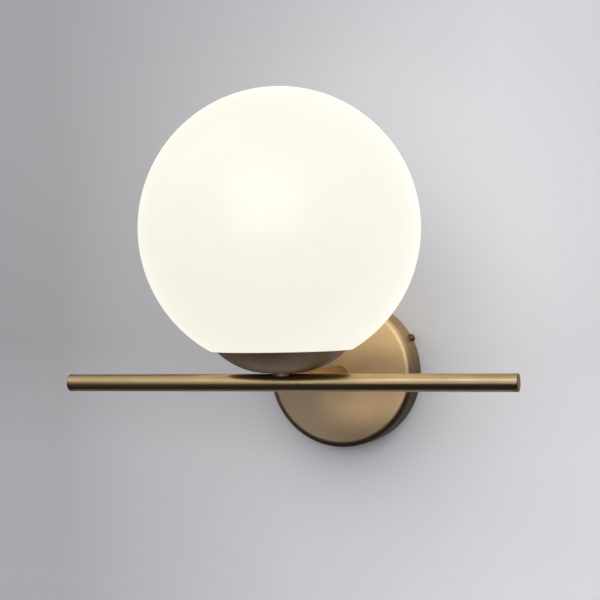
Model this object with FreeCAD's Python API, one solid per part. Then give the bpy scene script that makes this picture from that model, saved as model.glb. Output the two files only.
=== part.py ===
"""Globe wall sconce: an opal ball in a shallow cup, on a bar that one arm holds off the wall.

+Z is up, the wall is the plane Y = 0 and the object is on its -Y side.  The origin is the
middle of the mounting plate's rear face.  All sizes are in millimetres and degrees.
"""
import FreeCAD
import Part
import math
import os

V = FreeCAD.Vector
ORIGIN, ALONG_X, ALONG_Y, UP = V(0, 0, 0), V(1, 0, 0), V(0, 1, 0), V(0, 0, 1)

# Wall side: mounting plate, canopy and the fastenings between them.
CANOPY_RADIUS = 60.0
CANOPY_DEPTH = 30.0
CANOPY_EDGE_RADIUS = 5.0
SHEET = 1.0                  # thickness of the spun canopy, cup and glass fitter
PLATE_RADIUS = 48.0
PLATE_THICKNESS = 2.0
SLOT_SPACING = 64.0
SLOT_LENGTH = 14.0
SLOT_HALF_WIDTH = 2.5
CABLE_HOLE_RADIUS = 8.0
EAR_ANGLE = 27.0             # above level, to the right; its partner is opposite
EAR_GAP = 1.5                # between an ear's outer face and the canopy wall
EAR_WIDTH = 10.0
EAR_REACH = 12.0
SIDE_SCREW_OUT = 6.0         # side screw axis, out from the wall
SIDE_SCREW_RADIUS = 2.0
SIDE_SCREW_LENGTH = 7.0
SIDE_HEAD_RADIUS = 3.0
SIDE_HEAD_HEIGHT = 3.2
SIDE_HEAD_DOME = 1.5         # radius of the head's rounded edge
SCREW_CLEARANCE = 0.2        # radial, screw in a plain hole
EARTH_X = -24.0
EARTH_Z = -20.0
EARTH_SCREW_RADIUS = 2.0
EARTH_SCREW_LENGTH = 5.0
EARTH_HEAD_RADIUS = 3.8
EARTH_HEAD_HEIGHT = 2.0

# Arm, bar and the threaded tubes that join them.
BAR_STANDOFF = 170.0         # wall to the bar's axis
BAR_LENGTH = 336.0
TUBE_RADIUS = 6.35           # half-inch tube
TUBE_WALL = 1.0
END_CAP_THICKNESS = 4.0
END_CAP_PLUG = 8.0
END_CAP_CHAMFER = 0.5
ARM_STUD_WALL = 1.5
ARM_STUD_INSIDE = 12.0       # reach of the arm's threaded tube behind the canopy face
ARM_STUD_HOLD = 12.0         # length of it screwed into the arm
STUD_CLEARANCE = 0.1
WASHER_WIDTH = 4.0
WASHER_THICKNESS = 1.0
NUT_THICKNESS = 3.0
NUT_EXTRA = 4.0              # across flats, beyond the thread's diameter
CUP_STUD_RADIUS = 4.0
CUP_STUD_WALL = 1.3
CUP_STUD_BOTTOM = 2.2        # above the bar's axis, inside the bar
CUP_STUD_TOP = 19.0

# Saddle, cup, glass fitter, gasket and glass.
SADDLE_RADIUS = 7.0
SADDLE_RISE = 0.6            # cup seat above the bar's top
SADDLE_SKIRT = 1.5           # how far the saddle wraps down the bar
CUP_RIM_RADIUS = 46.0
CUP_FLAT_RADIUS = 8.5        # flat underside, before the bowl curves up
CUP_DEPTH = 15.55            # seat to rim
RIM_GAP = 0.4                # cup rim to glass underside
GLASS_RADIUS = 100.0
GLASS_WALL = 3.0
GLASS_CUT_RADIUS = 50.4
GLASS_CUT_FILLET = 1.5
NECK_RADIUS = 31.4
NECK_LENGTH = 5.5
THREAD_HEIGHT = 1.1
THREAD_BASE = 1.6
THREAD_TOP = 0.8
THREAD_LEAD = 7.5            # two starts, so the ridges are half of this apart
RIDGE_SUNK = 0.3             # how far every thread ridge's root lies in its wall
GLASS_RIDGE_START = 0.9      # lowest ridge centre above the neck's end
GLASS_RIDGE_TURN = 150.0
FITTER_RIDGE_TURN = 35.0
NECK_CLEARANCE = 0.3         # radial, glass thread in fitter
GASKET_THICKNESS = 1.0
GASKET_GAP = 0.03            # each side, so the two touch without crossing
GASKET_INSET = 0.8
FLANGE_RADIUS = 41.5
PAN_RISE = 0.4               # free height under the neck's end

# Lampholder, E27.
HOLDER_Z = 13.0              # foot of its entry boss, above the bar's axis
BOSS_RADIUS = 8.0
BOSS_HEIGHT = 5.0
BASE_RADIUS = 17.0
BASE_HEIGHT = 12.0           # cup part of the base
BASE_WALL = 1.5
BASE_STEP = 8.0              # height of the step that carries the insert
INSERT_RADIUS = 15.2
INSERT_SHOULDER = 5.0
INSERT_HEIGHT = 8.0
INSERT_NECK_RADIUS = 14.2
SKIRT_RADIUS = 18.6
SKIRT_TOP_RADIUS = 16.6
SKIRT_BORE_RADIUS = 14.6
SKIRT_OVERLAP = 8.0
SKIRT_HEIGHT = 34.0
SKIRT_SHOULDER = 12.0
SHELL_BORE_RADIUS = 13.5
SHELL_WALL = 0.6
SHELL_HEIGHT = 18.0
SHELL_FLANGE = 1.5
SHELL_RIDGE_TURNS = 3.5
CAP_RIDGE_SHIFT = 1.5        # turns from the foot of the shell's ridge to the foot of the cap's
LAMP_PITCH = 3.629
LAMP_RIDGE_HEIGHT = 1.1
LAMP_RIDGE_BASE = 2.0
LAMP_RIDGE_TOP = 0.9
TERMINAL_X = 8.5
TERMINAL_WIDTH = 5.0
TERMINAL_HEIGHT = 6.0
TERMINAL_SCREW_RADIUS = 1.3
TERMINAL_SCREW_DROP = 0.5    # of the screw below the middle of its terminal
TERMINAL_SCREW_RECESS = 6.35 # from the insert's side to the screw's end
CONTACT_WIDTH = 4.0
CONTACT_THICKNESS = 0.5
CONTACT_RISE = 2.0
CONTACT_SLOPE = 1.0          # run of the strip as it climbs to the bulb's tip
CONTACT_LEAN = 0.3           # offset of its upper face on the slope

# Bulb, a 45 mm ball with an E27 cap.
CAP_RADIUS = 12.1
CAP_WALL = 0.5
CAP_HEIGHT = 16.5
CAP_RIDGE_TURNS = 3.5
TIP_RADIUS = 4.6
TIP_THICKNESS = 1.4
TIP_GAP = 0.05
LAMP_INSULATOR = 3.0
BULB_SINK = 6.0              # depth of the glass neck in the cap
BULB_RADIUS = 22.5
BULB_JOIN_ANGLE = -50.0      # where the ball meets its tapered neck
BULB_WALL = 0.8
BULB_LENGTH = 73.5
STEM_RADIUS = 3.0
STEM_HEIGHT = 22.0
FILAMENT_RADIUS = 0.9
FILAMENT_LENGTH = 20.0
FILAMENT_CIRCLE = 8.0
FRAME_WIRE_RADIUS = 0.4

# Wiring in the canopy.
BLOCK_WIDTH = 27.0
BLOCK_HEIGHT = 14.0
BLOCK_DEPTH = 11.0
BLOCK_TOP_Z = -22.0
WAY_SPACING = 8.5
SLEEVE_RADIUS = 2.6
SLEEVE_BORE_RADIUS = 1.6
SLEEVE_OUT = 7.5             # sleeve axis, out from the wall
CLAMP_RADIUS = 1.3
CLAMP_SPACING = 6.0
BLOCK_SCREW_RADIUS = 1.5
BLOCK_HEAD_RADIUS = 2.5
BLOCK_HEAD_HEIGHT = 1.5
WIRE_RADIUS = 0.9
WIRE_OFFSET = 1.2            # of each wire from the middle of the tubes
WIRE_BEND = 4.0
WIRE_ENTRY = 4.0             # wire length inside a terminal
SCREW_WAY = 0.5              # the block's screw stands midway between live and neutral
EARTH_RISE = 12.0            # height of the earth wire's bends above its lug's barrel
EARTH_STRIP = 1.0            # height of the earth wire's end in the barrel

# Heights and radii that follow from the sizes above.
TUBE_BORE = TUBE_RADIUS - TUBE_WALL
ARM_STUD_RADIUS = TUBE_BORE
CANOPY_FACE = CANOPY_DEPTH - SHEET
EAR_FACE = CANOPY_RADIUS - SHEET - EAR_GAP
SEAT_Z = TUBE_RADIUS + SADDLE_RISE
RIM_Z = SEAT_Z + CUP_DEPTH
CUP_SPREAD = CUP_RIM_RADIUS - CUP_FLAT_RADIUS
CUP_CURVE = (CUP_SPREAD ** 2 + CUP_DEPTH ** 2) / (2 * CUP_DEPTH)
CUT_Z = RIM_Z + RIM_GAP
GLASS_CENTRE_Z = CUT_Z + math.sqrt(GLASS_RADIUS ** 2 - GLASS_CUT_RADIUS ** 2)
NECK_END_Z = CUT_Z - NECK_LENGTH
FITTER_BORE = NECK_RADIUS + THREAD_HEIGHT + NECK_CLEARANCE
FLANGE_Z = CUT_Z - GASKET_THICKNESS - SHEET
FITTER_FLOOR_Z = SEAT_Z + SHEET
FITTER_CORNER_Z = NECK_END_Z - PAN_RISE - SHEET
BASE_Z = HOLDER_Z + BOSS_HEIGHT
INSERT_Z = BASE_Z + BASE_STEP
SHELL_Z = INSERT_Z + INSERT_HEIGHT
SHELL_RIDGE_Z = SHELL_Z + SHELL_HEIGHT - LAMP_RIDGE_BASE - LAMP_PITCH * SHELL_RIDGE_TURNS
SKIRT_Z = BASE_Z + BASE_HEIGHT - SKIRT_OVERLAP
TIP_Z = SHELL_Z + CONTACT_RISE + CONTACT_THICKNESS + TIP_GAP
CAP_Z = TIP_Z + TIP_THICKNESS + LAMP_INSULATOR
CAP_TOP_Z = CAP_Z + CAP_HEIGHT
BULB_FOOT_Z = CAP_TOP_Z - BULB_SINK
BULB_TOP_Z = TIP_Z + BULB_LENGTH
STEM_TOP_Z = BULB_FOOT_Z + STEM_HEIGHT
FILAMENT_Z = STEM_TOP_Z - 2 * STEM_RADIUS
BLOCK_Z = BLOCK_TOP_Z - BLOCK_HEIGHT
BLOCK_MID_Z = BLOCK_TOP_Z - BLOCK_HEIGHT / 2
BLOCK_FACE = PLATE_THICKNESS + BLOCK_DEPTH


def outline(corners, place):
    """Wire through the corners, closed.  A corner (a, b, "arc") is the middle of an arc."""
    edges = []
    count = len(corners)
    start = 0
    while start < count:
        middle = corners[(start + 1) % count]
        if len(middle) == 3:
            end = corners[(start + 2) % count]
            points = [place(*corner[:2]) for corner in (corners[start], middle, end)]
            edges.append(Part.Arc(*points).toShape())
            start += 2
        else:
            edges.append(Part.makeLine(place(*corners[start]), place(*middle)))
            start += 1
    return Part.Wire(edges)


def turned_up(corners):
    """Solid turned about the shade's upright axis from (radius, height) corners."""
    face = Part.Face(outline(corners, lambda r, z: V(r, -BAR_STANDOFF, z)))
    return face.revolve(V(0, -BAR_STANDOFF, 0), UP, 360)


def turned_out(corners):
    """Solid turned about the arm's axis from (radius, distance out from the wall) corners."""
    face = Part.Face(outline(corners, lambda r, out: V(r, -out, 0)))
    return face.revolve(ORIGIN, ALONG_Y, 360)


def on_circle(centre, radius, angle):
    """Corner on a circle whose centre is (radius, height), at an angle from +radius."""
    turn = math.radians(angle)
    return (centre[0] + radius * math.cos(turn), centre[1] + radius * math.sin(turn))


def arc_middle(centre, radius, start, end):
    """Middle corner of an arc of such a circle, between two angles."""
    return on_circle(centre, radius, (start + end) / 2) + ("arc",)


def angle_at(centre_z, radius, height):
    """Angle from +radius of the point at a height on a circle centred on the axis."""
    return math.degrees(math.asin((height - centre_z) / radius))


def rod(radius, length, base, direction):
    """Plain round bar."""
    return Part.makeCylinder(radius, length, base, direction)


def on_shade_axis(x, y, z):
    """Point given from where the shade's axis meets the bar's axis."""
    return V(x, y - BAR_STANDOFF, z)


def hex_nut(bore_radius, base, direction):
    """Hexagon nut, its lower face centred on base."""
    across = bore_radius * 2 + NUT_EXTRA
    corner = across / math.sqrt(3)
    points = []
    for step in range(7):
        angle = math.radians(60 * step)
        points.append(V(corner * math.cos(angle), corner * math.sin(angle), 0))
    body = Part.Face(Part.makePolygon(points)).extrude(V(0, 0, NUT_THICKNESS))
    body = body.cut(rod(bore_radius, NUT_THICKNESS, ORIGIN, UP))
    turn = FreeCAD.Rotation(UP, direction)
    body.Placement = FreeCAD.Placement(base, turn)
    return body


def helical_ridge(root, crest, lead, turns, base_z, start_angle, widths):
    """Thread ridge on the shade's axis, right-handed, from its root to its crest radius."""
    base, top = widths
    sunk = math.copysign(RIDGE_SUNK, crest - root)
    helix = Part.makeHelix(lead, lead * turns, max(root, crest))
    corners = [(root - sunk, -base / 2), (crest, -top / 2), (crest, top / 2), (root - sunk, base / 2)]
    profile = Part.makePolygon([V(r, 0, z) for r, z in corners + corners[:1]])
    ridge = Part.Wire(helix.Edges).makePipeShell([profile], True, True)
    ridge.rotate(ORIGIN, UP, start_angle)
    ridge.translate(on_shade_axis(0, 0, base_z))
    return ridge


def wire_run(points, bend, radius):
    """Round wire along straight runs with bent corners."""
    edges = []
    last = points[0]
    for before, corner, after in zip(points, points[1:], points[2:]):
        back = (before - corner).normalize()
        ahead = (after - corner).normalize()
        turn = math.pi - back.getAngle(ahead)
        reach = bend * math.tan(turn / 2)
        start = corner + back * reach
        end = corner + ahead * reach
        inward = (back + ahead).normalize()
        middle = corner + inward * (bend / math.cos(turn / 2) - bend)
        edges.append(Part.makeLine(last, start))
        edges.append(Part.Arc(start, middle, end).toShape())
        last = end
    edges.append(Part.makeLine(last, points[-1]))
    section = Part.Wire(Part.makeCircle(radius, points[0], points[1] - points[0]))
    return Part.Wire(edges).makePipeShell([section], True, False)


def to_ear(shape, opposite=False):
    """Turn a shape built towards +X so that it points along an ear of the mounting plate."""
    placed = shape.copy()
    placed.rotate(ORIGIN, ALONG_Y, -EAR_ANGLE - (180 if opposite else 0))
    return placed


def block_x(way):
    """Middle of a way of the terminal block: -1 earth, 0 live, 1 neutral."""
    return way * WAY_SPACING


def mounting_plate():
    """Round steel plate with two wall slots, a cable hole and two ears for the side screws."""
    plate = rod(PLATE_RADIUS, PLATE_THICKNESS, ORIGIN, -ALONG_Y)
    neck_start = PLATE_RADIUS - EAR_WIDTH
    neck = Part.makeBox(EAR_FACE - neck_start, PLATE_THICKNESS, EAR_WIDTH,
                        V(neck_start, -PLATE_THICKNESS, -EAR_WIDTH / 2))
    ear = Part.makeBox(PLATE_THICKNESS, EAR_REACH, EAR_WIDTH,
                       V(EAR_FACE - PLATE_THICKNESS, -EAR_REACH, -EAR_WIDTH / 2))
    tapped = rod(SIDE_SCREW_RADIUS, EAR_WIDTH, V(EAR_FACE - EAR_WIDTH, -SIDE_SCREW_OUT, 0), ALONG_X)
    ear = ear.cut(tapped)
    for opposite in (False, True):
        plate = plate.fuse([to_ear(neck, opposite), to_ear(ear, opposite)])
    run = SLOT_LENGTH / 2 - SLOT_HALF_WIDTH
    for side in (-1, 1):
        middle = side * SLOT_SPACING / 2
        for end in (-1, 1):
            plate = plate.cut(rod(SLOT_HALF_WIDTH, PLATE_THICKNESS, V(middle + end * run, 0, 0), -ALONG_Y))
        plate = plate.cut(Part.makeBox(2 * run, PLATE_THICKNESS, 2 * SLOT_HALF_WIDTH,
                                       V(middle - run, -PLATE_THICKNESS, -SLOT_HALF_WIDTH)))
    plate = plate.cut(rod(CABLE_HOLE_RADIUS, PLATE_THICKNESS, ORIGIN, -ALONG_Y))
    plate = plate.cut(rod(EARTH_SCREW_RADIUS, PLATE_THICKNESS, V(EARTH_X, 0, EARTH_Z), -ALONG_Y))
    screw_foot = V(block_x(SCREW_WAY), 0, BLOCK_MID_Z)
    plate = plate.cut(rod(BLOCK_SCREW_RADIUS, PLATE_THICKNESS, screw_foot, -ALONG_Y))
    return plate.removeSplitter()


def canopy():
    """Spun backplate cup, open to the wall, with a rounded front edge."""
    centre = (CANOPY_RADIUS - CANOPY_EDGE_RADIUS, CANOPY_DEPTH - CANOPY_EDGE_RADIUS)
    inner_edge = CANOPY_EDGE_RADIUS - SHEET
    hole = ARM_STUD_RADIUS + STUD_CLEARANCE
    cup = turned_out([
        (CANOPY_RADIUS, 0), on_circle(centre, CANOPY_EDGE_RADIUS, 0),
        arc_middle(centre, CANOPY_EDGE_RADIUS, 0, 90), on_circle(centre, CANOPY_EDGE_RADIUS, 90),
        (hole, CANOPY_DEPTH), (hole, CANOPY_FACE),
        on_circle(centre, inner_edge, 90), arc_middle(centre, inner_edge, 90, 0),
        on_circle(centre, inner_edge, 0), (CANOPY_RADIUS - SHEET, 0)])
    screw_way = rod(SIDE_SCREW_RADIUS + SCREW_CLEARANCE, 2 * EAR_WIDTH,
                    V(CANOPY_RADIUS - EAR_WIDTH, -SIDE_SCREW_OUT, 0), ALONG_X)
    return cup.cut([to_ear(screw_way), to_ear(screw_way, True)])


def canopy_screws():
    """Two domed screws through the canopy's side into the ears."""
    start = V(CANOPY_RADIUS - SIDE_SCREW_LENGTH, -SIDE_SCREW_OUT, 0)
    shank = rod(SIDE_SCREW_RADIUS, SIDE_SCREW_LENGTH + SIDE_HEAD_HEIGHT / 2, start, ALONG_X)
    head = rod(SIDE_HEAD_RADIUS, SIDE_HEAD_HEIGHT, V(CANOPY_RADIUS, -SIDE_SCREW_OUT, 0), ALONG_X)
    middle = CANOPY_RADIUS + SIDE_HEAD_HEIGHT / 2
    head = head.makeFillet(SIDE_HEAD_DOME, [edge for edge in head.Edges if edge.CenterOfMass.x > middle])
    screw = shank.fuse(head).removeSplitter()
    return Part.makeCompound([to_ear(screw), to_ear(screw, True)])


def arm_stud():
    """Threaded tube that holds the arm to the canopy and lets the wires through."""
    bore = ARM_STUD_RADIUS - ARM_STUD_WALL
    near, far = CANOPY_DEPTH - ARM_STUD_INSIDE, CANOPY_DEPTH + ARM_STUD_HOLD
    return turned_out([(bore, near), (ARM_STUD_RADIUS, near), (ARM_STUD_RADIUS, far), (bore, far)])


def arm_washer():
    """Lock washer behind the canopy's face."""
    bore = ARM_STUD_RADIUS + STUD_CLEARANCE
    back = CANOPY_FACE - WASHER_THICKNESS
    return turned_out([(bore, back), (bore + WASHER_WIDTH, back),
                       (bore + WASHER_WIDTH, CANOPY_FACE), (bore, CANOPY_FACE)])


def arm_nut():
    """Nut that clamps the canopy to the arm."""
    return hex_nut(ARM_STUD_RADIUS, V(0, WASHER_THICKNESS - CANOPY_FACE, 0), ALONG_Y)


def arm_tube():
    """Arm from the canopy's face to the bar, its end shaped to the bar."""
    tube = turned_out([(TUBE_BORE, CANOPY_DEPTH), (TUBE_RADIUS, CANOPY_DEPTH),
                       (TUBE_RADIUS, BAR_STANDOFF), (TUBE_BORE, BAR_STANDOFF)])
    bar = rod(TUBE_RADIUS, BAR_LENGTH, on_shade_axis(-BAR_LENGTH / 2, 0, 0), ALONG_X)
    return tube.cut([bar, rod(CUP_STUD_RADIUS, SEAT_Z, on_shade_axis(0, 0, 0), UP)])


def crossbar():
    """Round tube across the arm's end, open inside for the wires."""
    length = BAR_LENGTH - 2 * END_CAP_THICKNESS
    start = on_shade_axis(-length / 2, 0, 0)
    bar = rod(TUBE_RADIUS, length, start, ALONG_X).cut(rod(TUBE_BORE, length, start, ALONG_X))
    wire_way = rod(ARM_STUD_RADIUS - ARM_STUD_WALL, TUBE_RADIUS, on_shade_axis(0, 0, 0), ALONG_Y)
    stud_way = rod(CUP_STUD_RADIUS, TUBE_RADIUS, on_shade_axis(0, 0, CUP_STUD_BOTTOM), UP)
    return bar.cut([wire_way, stud_way])


def crossbar_end_caps():
    """Turned plugs that close the crossbar's two ends."""
    face = BAR_LENGTH / 2 - END_CAP_THICKNESS
    disc = rod(TUBE_RADIUS, END_CAP_THICKNESS, on_shade_axis(face, 0, 0), ALONG_X)
    middle = face + END_CAP_THICKNESS / 2
    disc = disc.makeChamfer(END_CAP_CHAMFER, [edge for edge in disc.Edges if edge.CenterOfMass.x > middle])
    plug = rod(TUBE_BORE, END_CAP_PLUG, on_shade_axis(face - END_CAP_PLUG, 0, 0), ALONG_X)
    right = disc.fuse(plug).removeSplitter()
    left = right.mirror(ORIGIN, ALONG_X)
    return Part.makeCompound([right, left])


def cup_saddle():
    """Spacer shaped to the bar and arm underneath and flat where the cup sits."""
    foot = TUBE_RADIUS - SADDLE_SKIRT
    body = turned_up([(CUP_STUD_RADIUS, foot), (SADDLE_RADIUS, foot),
                      (SADDLE_RADIUS, SEAT_Z), (CUP_STUD_RADIUS, SEAT_Z)])
    bar = rod(TUBE_RADIUS, BAR_LENGTH, on_shade_axis(-BAR_LENGTH / 2, 0, 0), ALONG_X)
    arm = rod(TUBE_RADIUS, 2 * SADDLE_RADIUS, on_shade_axis(0, 0, 0), ALONG_Y)
    return body.cut([bar, arm])


def cup_stud():
    """Threaded tube from inside the bar up into the lampholder."""
    bore = CUP_STUD_RADIUS - CUP_STUD_WALL
    return turned_up([(bore, CUP_STUD_BOTTOM), (CUP_STUD_RADIUS, CUP_STUD_BOTTOM),
                      (CUP_STUD_RADIUS, CUP_STUD_TOP), (bore, CUP_STUD_TOP)])


def cup():
    """Shallow spun bowl with a flat seat on the saddle."""
    hole = CUP_STUD_RADIUS + STUD_CLEARANCE
    centre = (CUP_FLAT_RADIUS, SEAT_Z + CUP_CURVE)
    inner = CUP_CURVE - SHEET
    rim_angle = angle_at(centre[1], CUP_CURVE, RIM_Z)
    inner_rim_angle = angle_at(centre[1], inner, RIM_Z)
    return turned_up([
        (hole, SEAT_Z), (CUP_FLAT_RADIUS, SEAT_Z), arc_middle(centre, CUP_CURVE, -90, rim_angle),
        (CUP_RIM_RADIUS, RIM_Z), on_circle(centre, inner, inner_rim_angle),
        arc_middle(centre, inner, inner_rim_angle, -90), (CUP_FLAT_RADIUS, SEAT_Z + SHEET),
        (hole, SEAT_Z + SHEET)])


def glass_fitter():
    """Pan clamped in the cup, with a ring that has the female thread for the glass."""
    hole = CUP_STUD_RADIUS + STUD_CLEARANCE
    outer = FITTER_BORE + SHEET
    pan = turned_up([
        (hole, FITTER_FLOOR_Z), (SADDLE_RADIUS - SHEET, FITTER_FLOOR_Z), (outer, FITTER_CORNER_Z),
        (outer, FLANGE_Z), (FLANGE_RADIUS, FLANGE_Z), (FLANGE_RADIUS, FLANGE_Z + SHEET),
        (FITTER_BORE, FLANGE_Z + SHEET), (FITTER_BORE, FITTER_CORNER_Z + SHEET),
        (SADDLE_RADIUS, FITTER_FLOOR_Z + SHEET), (hole, FITTER_FLOOR_Z + SHEET)])
    low = NECK_END_Z + GLASS_RIDGE_START + THREAD_LEAD / 4
    crest = FITTER_BORE - THREAD_HEIGHT
    for start in (0, 180):
        ridge = helical_ridge(FITTER_BORE, crest, THREAD_LEAD, FITTER_RIDGE_TURN / 360, low, start,
                              (THREAD_BASE, THREAD_TOP))
        pan = pan.fuse(ridge)
    return pan


def fitter_nut():
    """Nut that clamps the fitter, cup and saddle down on the bar."""
    return hex_nut(CUP_STUD_RADIUS, on_shade_axis(0, 0, FITTER_FLOOR_Z + SHEET), UP)


def glass_gasket():
    """Silicone ring between the fitter's flange and the glass."""
    inner = FITTER_BORE + GASKET_INSET
    low = FLANGE_Z + SHEET + GASKET_GAP
    high = CUT_Z - GASKET_GAP
    return turned_up([(inner, low), (FLANGE_RADIUS, low), (FLANGE_RADIUS, high), (inner, high)])


def globe_glass():
    """Blown opal ball, cut flat underneath, with a short threaded neck."""
    centre = (0, GLASS_CENTRE_Z)
    inner = GLASS_RADIUS - GLASS_WALL
    neck_bore = NECK_RADIUS - GLASS_WALL
    tangent = angle_at(GLASS_CENTRE_Z, GLASS_RADIUS - GLASS_CUT_FILLET, CUT_Z + GLASS_CUT_FILLET)
    fillet = on_circle(centre, GLASS_RADIUS - GLASS_CUT_FILLET, tangent)
    floor_angle = angle_at(GLASS_CENTRE_Z, inner, CUT_Z + GLASS_WALL)
    ball = turned_up([
        (NECK_RADIUS, NECK_END_Z), (NECK_RADIUS, CUT_Z), (fillet[0], CUT_Z),
        arc_middle(fillet, GLASS_CUT_FILLET, -90, tangent), on_circle(centre, GLASS_RADIUS, tangent),
        arc_middle(centre, GLASS_RADIUS, tangent, 90), on_circle(centre, GLASS_RADIUS, 90),
        on_circle(centre, inner, 90), arc_middle(centre, inner, 90, floor_angle),
        on_circle(centre, inner, floor_angle), (neck_bore, CUT_Z + GLASS_WALL), (neck_bore, NECK_END_Z)])
    crest = NECK_RADIUS + THREAD_HEIGHT
    for start in (0, 180):
        ridge = helical_ridge(NECK_RADIUS, crest, THREAD_LEAD, GLASS_RIDGE_TURN / 360,
                              NECK_END_Z + GLASS_RIDGE_START, start, (THREAD_BASE, THREAD_TOP))
        ball = ball.fuse(ridge)
    return ball


def lampholder_base():
    """Moulded base: entry boss on the threaded tube and a cup with a step for the insert."""
    step = INSERT_RADIUS - BASE_WALL
    top = BASE_Z + BASE_HEIGHT
    bore = INSERT_RADIUS + STUD_CLEARANCE
    return turned_up([
        (CUP_STUD_RADIUS, HOLDER_Z), (BOSS_RADIUS, HOLDER_Z), (BOSS_RADIUS, BASE_Z),
        (BASE_RADIUS, BASE_Z + BASE_WALL), (BASE_RADIUS, top), (bore, top), (bore, INSERT_Z),
        (step, INSERT_Z), (step, BASE_Z + 2 * BASE_WALL), (BOSS_RADIUS, BASE_Z + BASE_WALL),
        (CUP_STUD_RADIUS, BASE_Z + BASE_WALL)])


def terminal_pocket(side):
    """Box of one lampholder terminal, -1 live and 1 neutral, flush with the insert's foot."""
    corner = on_shade_axis(side * TERMINAL_X - TERMINAL_WIDTH / 2, -TERMINAL_WIDTH / 2, INSERT_Z)
    return Part.makeBox(TERMINAL_WIDTH, TERMINAL_WIDTH, TERMINAL_HEIGHT, corner)


def terminal_riser(side):
    """Strip from a terminal's top up through the insert."""
    shift = CONTACT_WIDTH / 2 if side > 0 else -CONTACT_WIDTH / 4
    corner = on_shade_axis(side * TERMINAL_X + shift, -CONTACT_WIDTH / 2, INSERT_Z + TERMINAL_HEIGHT)
    return Part.makeBox(CONTACT_WIDTH / 2, CONTACT_WIDTH, INSERT_HEIGHT - TERMINAL_HEIGHT, corner)


def terminal_screw_way(side, radius, depth):
    """Round way from the insert's front to a terminal, for its screw."""
    height = INSERT_Z + TERMINAL_HEIGHT / 2 - TERMINAL_SCREW_DROP
    return rod(radius, depth, on_shade_axis(side * TERMINAL_X, -INSERT_RADIUS, height), ALONG_Y)


def lampholder_insert():
    """Insulating insert that carries the shell, the contacts and the two terminals."""
    shoulder = INSERT_Z + INSERT_SHOULDER
    body = turned_up([
        (0, INSERT_Z), (INSERT_RADIUS, INSERT_Z), (INSERT_RADIUS, shoulder),
        (INSERT_NECK_RADIUS, shoulder), (INSERT_NECK_RADIUS, SHELL_Z), (0, SHELL_Z)])
    for side in (-1, 1):
        body = body.cut([terminal_pocket(side), terminal_riser(side),
                         terminal_screw_way(side, TERMINAL_SCREW_RADIUS + SCREW_CLEARANCE, INSERT_RADIUS)])
    return body


def lampholder_terminals():
    """Live and neutral brass terminals, each with its wire hole and screw hole."""
    blocks = []
    for side in (-1, 1):
        block = terminal_pocket(side).fuse(terminal_riser(side)).removeSplitter()
        hole = rod(WIRE_RADIUS, WIRE_ENTRY, on_shade_axis(side * TERMINAL_X, 0, INSERT_Z), UP)
        tapped = terminal_screw_way(side, TERMINAL_SCREW_RADIUS, INSERT_RADIUS - WIRE_RADIUS)
        blocks.append(block.cut([hole, tapped]))
    return Part.makeCompound(blocks)


def lampholder_screws():
    """Two small screws that clamp the wires in the lampholder's terminals."""
    screws = []
    for side in (-1, 1):
        screw = terminal_screw_way(side, TERMINAL_SCREW_RADIUS, INSERT_RADIUS - WIRE_RADIUS)
        screws.append(screw.cut(terminal_screw_way(side, 2 * TERMINAL_SCREW_RADIUS, TERMINAL_SCREW_RECESS)))
    return Part.makeCompound(screws)


def lampholder_shell():
    """Threaded shell that the bulb's cap screws into."""
    outer = SHELL_BORE_RADIUS + SHELL_WALL
    tube = turned_up([
        (SHELL_BORE_RADIUS - SHELL_FLANGE, SHELL_Z), (outer, SHELL_Z), (outer, SHELL_Z + SHELL_HEIGHT),
        (SHELL_BORE_RADIUS, SHELL_Z + SHELL_HEIGHT), (SHELL_BORE_RADIUS, SHELL_Z + SHELL_WALL),
        (SHELL_BORE_RADIUS - SHELL_FLANGE, SHELL_Z + SHELL_WALL)])
    crest = SHELL_BORE_RADIUS - LAMP_RIDGE_HEIGHT
    ridge = helical_ridge(SHELL_BORE_RADIUS, crest, LAMP_PITCH, SHELL_RIDGE_TURNS,
                          SHELL_RIDGE_Z, 180, (LAMP_RIDGE_BASE, LAMP_RIDGE_TOP))
    return tube.fuse(ridge)


def lampholder_contact():
    """Centre contact: a strip from the live terminal that rises to the bulb's tip."""
    reach = TERMINAL_X + CONTACT_WIDTH / 4
    half = CONTACT_WIDTH / 2
    bend = half + CONTACT_SLOPE
    foot, top = SHELL_Z, SHELL_Z + CONTACT_RISE
    corners = [(-reach, foot), (-bend, foot), (-half, top), (half, top), (half, top + CONTACT_THICKNESS),
               (-half - CONTACT_LEAN, top + CONTACT_THICKNESS),
               (-bend - CONTACT_LEAN, foot + CONTACT_THICKNESS), (-reach, foot + CONTACT_THICKNESS)]
    face = Part.Face(outline(corners, lambda x, z: on_shade_axis(x, -half, z)))
    return face.extrude(V(0, CONTACT_WIDTH, 0))


def lampholder_skirt():
    """Outer sleeve screwed over the base; its ledge holds the insert down."""
    ledge = INSERT_Z + INSERT_SHOULDER
    top = SKIRT_Z + SKIRT_HEIGHT
    step = SKIRT_Z + SKIRT_SHOULDER
    slope = SKIRT_RADIUS - SKIRT_TOP_RADIUS
    return turned_up([
        (BASE_RADIUS, SKIRT_Z), (SKIRT_RADIUS, SKIRT_Z), (SKIRT_RADIUS, step),
        (SKIRT_TOP_RADIUS, step + slope), (SKIRT_TOP_RADIUS, top), (SKIRT_BORE_RADIUS, top),
        (SKIRT_BORE_RADIUS, ledge), (BASE_RADIUS, ledge)])


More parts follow.
